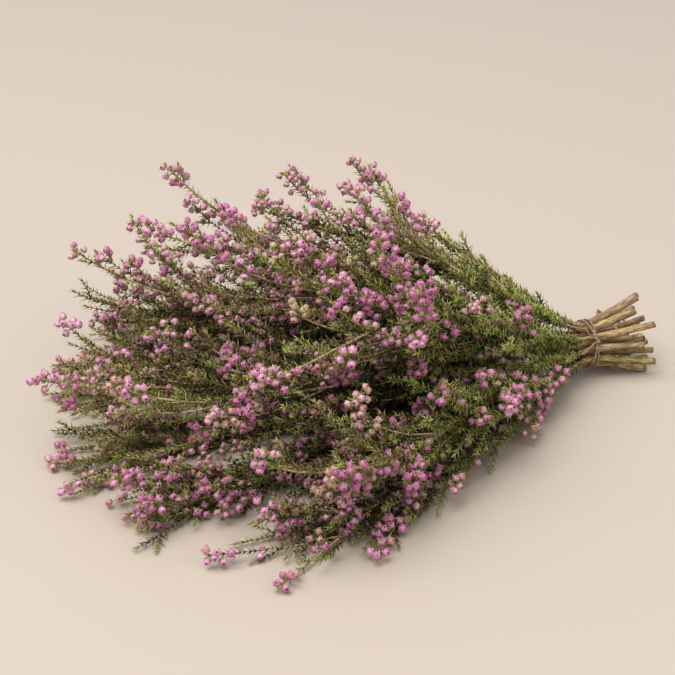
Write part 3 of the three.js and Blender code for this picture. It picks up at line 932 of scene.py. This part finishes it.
def finish_piece(name, bm, materials, node):
    """Moves a piece to the neck's place in the frame and lets it stand for its solid"""
    bmesh.ops.translate(bm, verts=bm.verts, vec=NECK)
    for vert in bm.verts:
        vert.co.z = max(vert.co.z, 0)
    mesh = mesh_from(bm, name)
    for material in materials:
        mesh.materials.append(material)
    piece = add_object(name, mesh)
    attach(piece, "root")
    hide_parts(node)


def finish_stem_piece(kind, bm, materials, stem):
    node = f"heather_stem_{stem.number}"
    finish_piece(f"{node}_{kind}", bm, materials, node)


def stations_along(line, step):
    """The distance and the frame at each step, none of them twisted against the last"""
    count = max(2, ceil(line.length / step))
    turn = line.frame(0).to_quaternion()
    for i in range(count + 1):
        distance = line.length * i / count
        turn = (turn @ UP).rotation_difference(line.ahead(distance)) @ turn
        yield distance, Matrix.LocRotScale(line.place(distance), turn, None)


def add_tube(target, line, radius_at, step, sides, tone):
    """Adds a closed tube along a line. Its grain is each point's place in the straightened tube"""
    bm = start_piece()
    layers = bm.verts.layers
    grain, along, tones = layers.float_vector["grain"], layers.float["along"], layers.float["tone"]
    bmesh.ops.create_circle(bm, cap_ends=True, segments=sides, radius=1)
    face = bm.faces[:][0]
    last = Matrix.Identity(4)
    for distance, station in stations_along(line, step):
        if distance > 0:
            grown = bmesh.ops.extrude_face_region(bm, geom=[face])["geom"]
            face = next(item for item in grown if isinstance(item, bmesh.types.BMFace))
        back = last.inverted()
        for vert in face.verts:
            flat = back @ vert.co
            angle = atan2(flat.y, flat.x)
            radius = radius_at(distance, angle)
            flat = Vector((radius * cos(angle), radius * sin(angle), 0))
            vert.co = station @ flat
            vert[grain] = (flat.x, flat.y, distance + tone)
            vert[along] = distance / line.length
            vert[tones] = tone
        last = station
    mesh = smooth_mesh_from(bm, "tube")
    target.from_mesh(mesh)
    bpy.data.meshes.remove(mesh)


def wood_radius(run, seed):
    """The wood thins out quickly past the tie. Knots and dents come from the seed"""
    if run < 0:
        radius = mix(THICK_WOOD_RADIUS, CUT_WOOD_RADIUS, min(1, -run / CUT_LENGTH))
    else:
        radius = mix(THIN_WOOD_RADIUS, THICK_WOOD_RADIUS, exp(-run / WOOD_THINNING))
    rough = BARK_ROUGHNESS * noise.noise(Vector((run * 190, seed, 0)))
    knots = KNOT_BULGE * max(0, noise.noise(Vector((run * 85, seed, 9))) - 0.22)
    return radius * (1 + rough + knots)


def bark_place(stem, run):
    """A place on the stem's line, which wanders a little toward the cut end"""
    wander = wander_at(Vector((run * 45, stem.seed, 3)))
    wander.x = 0
    return stem.place(run) + wander * CUT_SWAY * min(1, max(0, -run / CUT_LENGTH))


def wood_piece(stem, bark, cut_wood, draw):
    """The bark of a stem, with its pruning cut and the stubs of side twigs near it"""
    first = -stem.cut - 3 * MM
    last = WOOD_SHARE * stem.reach + 4 * MM
    line = line_along(lambda part: bark_place(stem, mix(first, last, part)), 150)
    tone = 0.5 - stem.seat_z / (4 * OUTER_SEAT) + draw(-0.25, 0.25)

    def radius_at(distance, angle):
        ridge = Vector((3 * cos(angle), 3 * sin(angle), distance * 60 + stem.seed))
        return wood_radius(distance + first, stem.seed) * (1 + RIDGE_HEIGHT * noise.noise(ridge))

    bm = start_piece()
    add_tube(bm, line, radius_at, 2.5 * MM, 12, tone)
    cut_end(bm, stem)
    for _ in range(STUBS):
        run = -draw(0.2, 0.8) * stem.cut
        ahead = (bark_place(stem, run - MM) - bark_place(stem, run + MM)).normalized()
        start = frame_from(bark_place(stem, run), ahead)
        out = outward(start, draw(0, tau))
        slanted = (out - 0.5 * ahead).normalized()
        stub = arching_line(start.translation, slanted, draw(3, 4.6) * MM, ahead * 0)
        width = draw(0.6, 0.95) * MM
        add_tube(bm, stub, lambda distance, angle: width * (1 - 60 * distance), MM, 6, tone)
    finish_stem_piece("wood", bm, [bark, cut_wood], stem)


def cut_end(bm, stem):
    """Cuts the wood on a slant and closes the cut with a face of its own material"""
    ahead = (bark_place(stem, -stem.cut + MM) - bark_place(stem, -stem.cut - MM)).normalized()
    station = frame_from(bark_place(stem, -stem.cut), ahead)
    across = station.to_3x3() @ Vector((1, 0, 0))
    everything = bm.verts[:] + bm.edges[:] + bm.faces[:]
    bmesh.ops.bisect_plane(
        bm, geom=everything, plane_co=station.translation,
        plane_no=-(ahead + across * stem.slope), clear_outer=True,
    )
    open_edges = [edge for edge in bm.edges if edge.is_boundary]
    cap = bmesh.ops.holes_fill(bm, edges=open_edges)["faces"]
    rim = bmesh.ops.inset_region(bm, faces=cap, thickness=0.3 * MM)["faces"]
    middle = bmesh.ops.poke(bm, faces=cap)["faces"]
    bmesh.ops.recalc_face_normals(bm, faces=bm.faces)
    grain = bm.verts.layers.float_vector["grain"]
    back = station.inverted()
    for face in rim + middle:
        face.material_index = 1
        face.smooth = False
        for vert in face.verts:
            flat = back @ vert.co
            vert[grain] = (flat.x, flat.y, stem.number)
    for edge in open_edges:
        edge.smooth = False


def all_twigs(stem):
    yield from stem.trunk.sprigs
    for shoot in stem.shoots:
        yield shoot
        yield from shoot.sprigs


def twig_piece(stem, material):
    bm = start_piece()
    stalk = needle_stamp(0, 0)
    for twig in all_twigs(stem):
        sides = 4 if twig.foot_radius > THIN_TWIG_RADIUS else 3
        step = TWIG_STEP if twig.bulk == 1 else 2 * TWIG_STEP
        add_tube(
            bm, twig.line, lambda distance, angle: twig.radius(distance),
            step, sides, twig.tone,
        )
        for floret in twig.florets:
            reach = floret.start - floret.foot
            size = (reach.length, STALK_WIDTH, STALK_WIDTH)
            place = stretched(floret.foot, reach.normalized(), floret.direction, size)
            stalk.press(bm, place, floret.tone)
    finish_stem_piece("twigs", bm, [material], stem)


def press_whorl(bm, shoot, distance, turn, stamps, draw):
    station = shoot.line.frame(distance)
    ahead = shoot.line.ahead(distance)
    closing = shoot.line.left(distance, CLOSING_LENGTH)
    for i in range(NEEDLES_PER_WHORL):
        angle = turn + tau * i / NEEDLES_PER_WHORL + draw(-0.35, 0.35)
        tilt = NEEDLE_ANGLE * draw(0.75, 1.3) * mix(0.45, 1, closing)
        out = outward(station, angle)
        full_length = LEAFY_LENGTH if shoot.leafy else NEEDLE_LENGTH
        length = full_length * draw(0.75, 1.1) * mix(0.7, 1, closing)
        foot = station.translation + out * (0.4 * shoot.radius(distance))
        direction = kept_off_surface(foot, tilted(ahead, out, tilt), length)
        size = (length, NEEDLE_WIDTH * shoot.bulk, NEEDLE_DEPTH * shoot.bulk)
        place = stretched(foot, direction, ahead, size)
        # Darker toward the shoot's foot: partly age, partly painted shade
        older_and_shaded = AGE_AND_FOOT_SHADE * (0.5 - distance / shoot.length)
        # Bulky shoots deep inside get no light young tips, so their painted shade stays dark
        young = YOUNG_TONE * (1 - closing) if shoot.bulk == 1 else 0
        tone = shoot.tone + draw(-0.28, 0.28) + young - older_and_shaded
        stamps[int(draw(0, len(stamps) - 0.01))].press(bm, place, tone)


def needle_piece(stem, curved, plain, material, draw):
    """Whorls of needles along every twig, each turned against the last"""
    bm = start_piece()
    for twig in [stem.trunk, *all_twigs(stem)]:
        stamps = curved if twig.foot_radius > THIN_TWIG_RADIUS else plain
        distance = twig.bare_foot
        turn = draw(0, tau)
        while distance < twig.length:
            press_whorl(bm, twig, distance, turn, stamps, draw)
            closing = twig.line.left(distance, CLOSING_LENGTH)
            distance += WHORL_STEP * twig.bulk * draw(0.8, 1.2) * mix(0.5, 1, closing)
            turn += pi / NEEDLES_PER_WHORL + draw(-0.2, 0.2)
    finish_stem_piece("needles", bm, [material], stem)


def all_florets(stem):
    for twig in all_twigs(stem):
        yield from twig.florets


def petal_piece(stem, material, draw):
    """The urns of the florets"""
    bm = start_piece()
    urn = floret_stamp()
    for floret in all_florets(stem):
        side = floret.direction.orthogonal()
        side.rotate(Matrix.Rotation(draw(0, pi), 3, floret.direction))
        size = (floret.size, floret.size, floret.size)
        urn.press(bm, stretched(floret.foot, floret.direction, side, size), floret.tone)
    finish_stem_piece("petals", bm, [material], stem)


def calyx_piece(stem, material, draw):
    """Four sepals that clasp the foot of each urn"""
    bm = start_piece()
    sepal = needle_stamp(SEPAL_BEND, 0.4)
    for floret in all_florets(stem):
        station = frame_from(floret.foot, floret.direction)
        turn = draw(0, pi)
        for i in range(4):
            out = outward(station, turn + i * pi / 2)
            foot = floret.foot + out * (SEPAL_FOOT * floret.size)
            direction = (out * 3.2 + floret.direction).normalized()
            size = Vector((SEPAL_LENGTH, SEPAL_WIDTH, SEPAL_DEPTH)) * floret.size
            sepal.press(bm, stretched(foot, direction, floret.direction, size), floret.tone)
    finish_stem_piece("sepals", bm, [material], stem)


# The cord


def place_at_neck(along, out, angle):
    turn = radians(angle)
    return Vector((along, out * cos(turn), TIE_HEIGHT + out * sin(turn)))


def tail_places(tail):
    return [
        place_at_neck(along * MM, TIED_RADIUS + out * MM, KNOT_ANGLE + turn)
        for along, out, turn in tail
    ]


def loop_places(parting):
    """Once round the neck, from the knot back to it"""
    places = []
    for i in range(1, LOOP_STEPS):
        turn = 360 * i / LOOP_STEPS
        along = parting * sin(radians(turn))
        places.append(place_at_neck(along, TIED_RADIUS, KNOT_ANGLE + turn))
    return places


def knot_places():
    """One tight turn round the crossing, along the stems and out from them"""
    width, height, swing = KNOT_TURN
    places = []
    for i in range(KNOT_STEPS):
        turn = tau * i / KNOT_STEPS
        out = TIED_RADIUS + height * cos(turn)
        places.append(place_at_neck(width * sin(turn), out, KNOT_ANGLE + swing * sin(2 * turn)))
    return places


def smooth_line(places, steps):
    """A line that rounds off the corners between the places"""
    for _ in range(2):
        finer = [places[0]]
        for near, far in zip(places, places[1:]):
            finer += [near.lerp(far, 0.25), near.lerp(far, 0.75)]
        places = finer + [places[-1]]
    line = Line(places)
    return Line([line.place(line.length * i / steps) for i in range(steps + 1)])


def tie_piece(material, draw):
    """One length of two-ply cord: a loose end, two turns round the neck, the knot, a loose end"""
    places = tail_places(TAILS[0])[::-1]
    places += loop_places(-LOOP_PARTING) + knot_places() + loop_places(LOOP_PARTING)
    places += knot_places() + tail_places(TAILS[1])
    line = smooth_line(places, CORD_STEPS)
    bm = start_piece()
    for start in (0, pi):

        def strand_place(part):
            distance = part * line.length
            station = line.frame(distance)
            angle = start + tau * distance / PLY_PITCH
            return station.translation + outward(station, angle) * PLY_OFFSET

        strand = line_along(strand_place, STRAND_STEPS)
        add_tube(bm, strand, lambda distance, angle: PLY_RADIUS, 0.6 * MM, 5, start)
    hair = needle_stamp(2, 0.3)
    for _ in range(HAIRS):
        station = line.frame(draw(0, line.length))
        out = outward(station, draw(0, tau))
        ahead = station.to_3x3() @ UP
        direction = (out + ahead * draw(-2, 2)).normalized()
        size = (draw(1.2, 3.2) * MM, HAIR_WIDTH, HAIR_WIDTH * 3)
        hair.press(bm, stretched(station.translation, direction, out.cross(ahead), size), draw())
    finish_piece("tie_cord", bm, [material], "tie")


# Materials


class Value:
    """A socket of a material, with arithmetic that adds Math nodes"""

    def __init__(self, look, socket):
        self.look = look
        self.socket = socket

    def combined(self, operation, first, second):
        settings = {"operation": operation}
        return self.look.node("Math", settings, {0: first, 1: second})

    def __add__(self, other):
        return self.combined("ADD", self, other)

    def __radd__(self, other):
        return self.combined("ADD", other, self)

    def __mul__(self, other):
        return self.combined("MULTIPLY", self, other)

    def __rmul__(self, other):
        return self.combined("MULTIPLY", other, self)

    def between(self, low, high):
        """0 where the value is below low and 1 where it is above high"""
        settings = {"interpolation_type": "SMOOTHSTEP"}
        return self.look.node("MapRange", settings, {0: self, 1: low, 2: high})


class Look:
    """One material and its nodes"""

    def __init__(self, name):
        self.material = bpy.data.materials.new(name)
        self.material.use_nodes = True
        self.tree = self.material.node_tree
        self.shader = self.tree.nodes["Principled BSDF"]

    def node(self, kind, settings, sockets, out=0):
        node = self.tree.nodes.new("ShaderNode" + kind)
        for name, value in settings.items():
            setattr(node, name, value)
        for name, value in sockets.items():
            self.feed(node.inputs[name], value)
        return Value(self, node.outputs[out])

    def feed(self, socket, value):
        if isinstance(value, Value):
            self.tree.links.new(value.socket, socket)
        else:
            socket.default_value = value

    def attribute(self, name, out):
        return self.node("Attribute", {"attribute_name": name}, {}, out)

    def number(self, name):
        return self.attribute(name, "Fac")

    def place(self):
        return self.node("TexCoord", {}, {}, "Object")

    def place_along(self):
        """How far along the bunch a point is, toward the cut ends"""
        return self.node("SeparateXYZ", {}, {0: self.place()})

    def noise(self, vector, scale, detail, roughness=0.5):
        sockets = {"Vector": vector, "Scale": scale, "Detail": detail, "Roughness": roughness}
        return self.node("TexNoise", {}, sockets)

    def place_noise(self, scale, detail):
        return self.noise(self.place(), scale, detail)

    def grain(self, scales):
        """The place in the straightened tube, scaled in its two directions across and along it"""
        sockets = {0: self.attribute("grain", "Vector"), 1: scales}
        return self.node("VectorMath", {"operation": "MULTIPLY"}, sockets)

    def grain_noise(self, across, along, detail, roughness=0.5):
        return self.noise(self.grain((across, across, along)), 1, detail, roughness)

    def blend(self, share, near, far):
        """A colour between two colours"""
        sockets = {0: share, 6: self.colour(near), 7: self.colour(far)}
        return self.node("Mix", {"data_type": "RGBA"}, sockets, 2)

    def coated(self, base, *coats):
        """A colour under coats of other colours, each with its share"""
        for share, colour in coats:
            base = self.blend(share, base, colour)
        return base

    def colour(self, colour):
        return colour if isinstance(colour, Value) else (*colour, 1)

    def finish(self, colour, roughness, bump=None, depth=0.0, shine=0.5):
        inputs = {
            "Base Color": self.colour(colour), "Roughness": roughness, "Specular IOR Level": shine,
        }
        if bump:
            sockets = {"Height": bump, "Distance": depth, "Strength": 1.0}
            inputs["Normal"] = self.node("Bump", {}, sockets)
        for name, value in inputs.items():
            self.feed(self.shader.inputs[name], value)
        return self.material


def bark_look():
    """Dull brown bark, split along the grain, with olive and ochre patches, and painted shade in
    the cracks
    """
    look = Look("bark")
    shaded_cracks = look.grain_noise(1500, 190, 4, 0.65)
    patches = look.grain_noise(260, 90, 2)
    warm = look.grain_noise(180, 45, 1)
    olive = look.number("tone").between(0.3, 0.7)
    dull = look.blend(olive, (0.33, 0.2, 0.12), (0.33, 0.26, 0.1))
    clear = look.blend(olive, (0.5, 0.34, 0.21), (0.52, 0.42, 0.18))
    base = look.coated(
        look.blend(patches.between(0.4, 0.6), dull, clear),
        (warm.between(0.52, 0.68), (0.62, 0.43, 0.21)),
        # Painted shade: the deepest parts of the cracks are painted near black
        (shaded_cracks.between(0.6, 0.38) * 0.8, (0.07, 0.04, 0.022)),
    )
    return look.finish(base, 0.75, shaded_cracks, 0.5 * MM)


def cut_wood_look():
    """Pale wood inside a thin dark bark, with a small brown pith"""
    look = Look("cut wood")
    settings = {"operation": "LENGTH"}
    middle = look.node("VectorMath", settings, {0: look.grain((1, 1, 0))}, "Value")
    rings = look.noise(look.node("CombineXYZ", {}, {"X": middle}), 6000, 2)
    base = look.coated(
        (0.5, 0.34, 0.17),
        (rings.between(0.35, 0.65), (0.34, 0.2, 0.09)),
        (middle.between(0.6 * MM, 0.35 * MM), (0.14, 0.07, 0.03)),
        (middle.between(1.7 * MM, 2 * MM), (0.09, 0.05, 0.025)),
    )
    return look.finish(base, 0.8, rings, 0.08 * MM)


def twig_look():
    """Thin bark, from reddish brown to straw, with the scars of old needles"""
    look = Look("twig")
    streaks = look.grain_noise(1200, 160, 3)
    scars = look.grain_noise(700, 900, 1)
    base = look.coated(
        (0.11, 0.05, 0.03),
        # Painted shade: the tone, low on twigs deep in the bunch, keeps them dark brown; it also
        # varies at random
        (look.number("tone").between(0.1, 0.6), (0.56, 0.39, 0.26)),
        (look.number("along").between(0.6, 1), (0.36, 0.33, 0.1)),
        (streaks.between(0.5, 0.7) * 0.6, (0.09, 0.045, 0.022)),
        (scars.between(0.62, 0.72) * 0.6, (0.55, 0.43, 0.25)),
    )
    return look.finish(base, 0.65, streaks, 0.15 * MM)


def needle_look():
    """Dark green needles, lighter and yellower where they are young, with browned tips, and painted
    shade: low tones, deep in the bunch, go near black
    """
    look = Look("needle")
    tone = look.number("tone") + look.place_along().between(0.02, 0.1) * 0.16
    mottle = look.place_noise(900, 2)
    browned = look.place_noise(55, 2)
    fresh = look.blend(tone.between(0.4, 1.05), (0.12, 0.155, 0.03), (0.48, 0.53, 0.17))
    dull = look.blend(tone.between(0.4, 1.05), (0.16, 0.125, 0.045), (0.46, 0.39, 0.17))
    toward_heads = look.place_along().between(0.09, -0.07)
    base = look.coated(
        fresh,
        (browned.between(0.38, 0.58) * (toward_heads * 0.75 + 0.25), dull),
        # Painted shade: needles of a low tone, deep in the bunch, are painted near black
        (tone.between(0.57, 0.16), (0.004, 0.004, 0.002)),
        (mottle.between(0.5, 0.75) * 0.35, (0.26, 0.19, 0.07)),
        (look.number("along").between(0.8, 1) * 0.3, (0.2, 0.12, 0.05)),
    )
    return look.finish(base, 0.5, mottle, 0.05 * MM, 0.3)


def petal_look():
    """Thin pink petals, pale at the foot, with painted shade in the mouth; some are faded to beige
    """
    look = Look("petal")
    tone = look.number("tone")
    along = look.number("along")
    veins = look.place_noise(1100, 3)
    old = look.place_noise(130, 1).between(0.5, 0.56)
    base = look.coated(
        (0.42, 0.11, 0.28),
        (tone.between(0, 0.55), (0.68, 0.33, 0.53)),
        (tone.between(0.52, 0.62), (0.55, 0.31, 0.36)),
        (tone.between(0.8, 0.88), (0.52, 0.34, 0.27)),
        (tone.between(0.98, 1.02), (0.32, 0.31, 0.11)),
        (veins.between(0.45, 0.7) * 0.4, (0.85, 0.6, 0.7)),
        (along.between(0.3, 0.04), (0.64, 0.47, 0.38)),
        (along.between(0.7, 0.88) * 0.6, (0.5, 0.14, 0.24)),
        # Painted shade: the mouth is painted near black, or beige where the dried centre shows
        (along.between(0.91, 0.95), look.blend(old, (0.06, 0.006, 0.02), (0.3, 0.2, 0.07))),
    )
    return look.finish(base, 0.32, veins, 0.06 * MM)


def calyx_look():
    """Pale green sepals, some of them flushed with maroon"""
    look = Look("calyx")
    flush = look.place_noise(260, 1)
    base = look.coated(
        (0.5, 0.42, 0.21),
        (look.number("along").between(0, 1), (0.74, 0.6, 0.43)),
        (flush.between(0.56, 0.68) * 0.7, (0.34, 0.13, 0.1)),
    )
    return look.finish(base, 0.55, flush, 0.05 * MM)


def cord_look():
    """Plain natural fibre"""
    look = Look("cord")
    fibres = look.grain_noise(5000, 500, 3)
    base = look.blend(fibres.between(0.35, 0.65), (0.2, 0.12, 0.07), (0.5, 0.36, 0.24))
    return look.finish(base, 0.85, fibres, 0.12 * MM)


# The bunch and its surroundings


def neck_place():
    """The neck's place in the frame, from the box of the cord"""
    _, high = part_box("tie")
    nearest = (KNOT_ANGLE + 180 / LOOP_CORNERS) % (360 / LOOP_CORNERS)
    half_width = (LOOP_RADIUS + CORD_RADIUS) * cos(radians(nearest))
    return Vector((high[0] - KNOT_HALF_LENGTH, high[1] - half_width, 0))


def dress_bunch():
    stems = plan_bunch()
    draw = Draws(DRESS_SEED)
    floret_space = TakenSpace(GRID_CELL)
    for stem in stems:
        stem.trunk.tone = 0.35
        plant_sprigs(stem.trunk, draw)
        for shoot in stem.shoots:
            # Painted shade: shoots deep in the bunch get a low tone, which paints their twigs and
            # needles darker, with a random spread on top
            shoot.tone = 0.9 * shoot.depth - 0.25 + draw(-0.25, 0.25)
            if shoot.bare_foot > 0:
                shoot.bare_foot = draw(SHORTEST_BARE, BARE_SHARE * shoot.length)
            plant_sprigs(shoot, draw)
            plant_florets(shoot, floret_space, draw)
    curved = [needle_stamp(0.9, 0.3), needle_stamp(-1, 0.35), needle_stamp(-1.9, 0.3)]
    plain = [needle_stamp(0, 0)]
    bark, cut_wood, twig = bark_look(), cut_wood_look(), twig_look()
    needle, petal, calyx = needle_look(), petal_look(), calyx_look()
    for stem in stems:
        wood_piece(stem, bark, cut_wood, draw)
        twig_piece(stem, twig)
        needle_piece(stem, curved, plain, needle, draw)
        petal_piece(stem, petal, draw)
        calyx_piece(stem, calyx, draw)
    tie_piece(cord_look(), draw)


def add_camera():
    """The photograph's view, placed so that the surface under the neck is at its pixel"""
    rise, turn = radians(CAMERA_ELEVATION), radians(CAMERA_TURN)
    ahead = Vector(
        (sin(turn) * cos(rise), cos(turn) * cos(rise), -sin(rise))
    )
    right = Vector((cos(turn), -sin(turn), 0))
    up = right.cross(ahead)
    across = (NECK_PIXEL[0] - IMAGE_SIZE / 2) / FOCAL_PIXELS
    down = (NECK_PIXEL[1] - IMAGE_SIZE / 2) / FOCAL_PIXELS
    distance = CAMERA_HEIGHT / (sin(rise) + down * cos(rise))
    place = NECK - (ahead + right * across - up * down) * distance
    camera = add_object("camera", bpy.data.cameras.new("camera"))
    camera.data.sensor_width = SENSOR_WIDTH
    camera.data.lens = FOCAL_PIXELS / IMAGE_SIZE * SENSOR_WIDTH
    camera.matrix_world = Matrix.LocRotScale(
        place, Matrix((right, up, -ahead)).transposed(), None
    )
    bpy.context.scene.camera = camera


def add_floor():
    bm = bmesh.new()
    bmesh.ops.create_grid(bm, x_segments=1, y_segments=1, size=FLOOR_SIZE / 2)
    mesh = mesh_from(bm, "floor")
    mesh.materials.append(Look("floor").finish(FLOOR_COLOUR, 0.6))
    add_object("floor", mesh)


def add_lamp(name, place, size, power):
    """A square lamp that points at the middle of the bunch"""
    lamp = bpy.data.lights.new(name, "AREA")
    lamp.size = size
    lamp.energy = power
    holder = add_object(name, lamp)
    holder.location = place
    holder.rotation_euler = Vector(place).to_track_quat("Z", "Y").to_euler()


def add_light():
    view = bpy.context.scene.view_settings
    view.view_transform = "Standard"
    view.look = "Medium High Contrast"
    world = bpy.data.worlds.new("studio")
    world.use_nodes = True
    background = world.node_tree.nodes["Background"]
    background.inputs["Color"].default_value = (*SKY_COLOUR, 1)
    background.inputs["Strength"].default_value = SKY_STRENGTH
    bpy.context.scene.world = world
    for lamp in LAMPS:
        add_lamp(*lamp)


NECK = neck_place()
add_camera()
add_floor()
add_light()
dress_bunch()
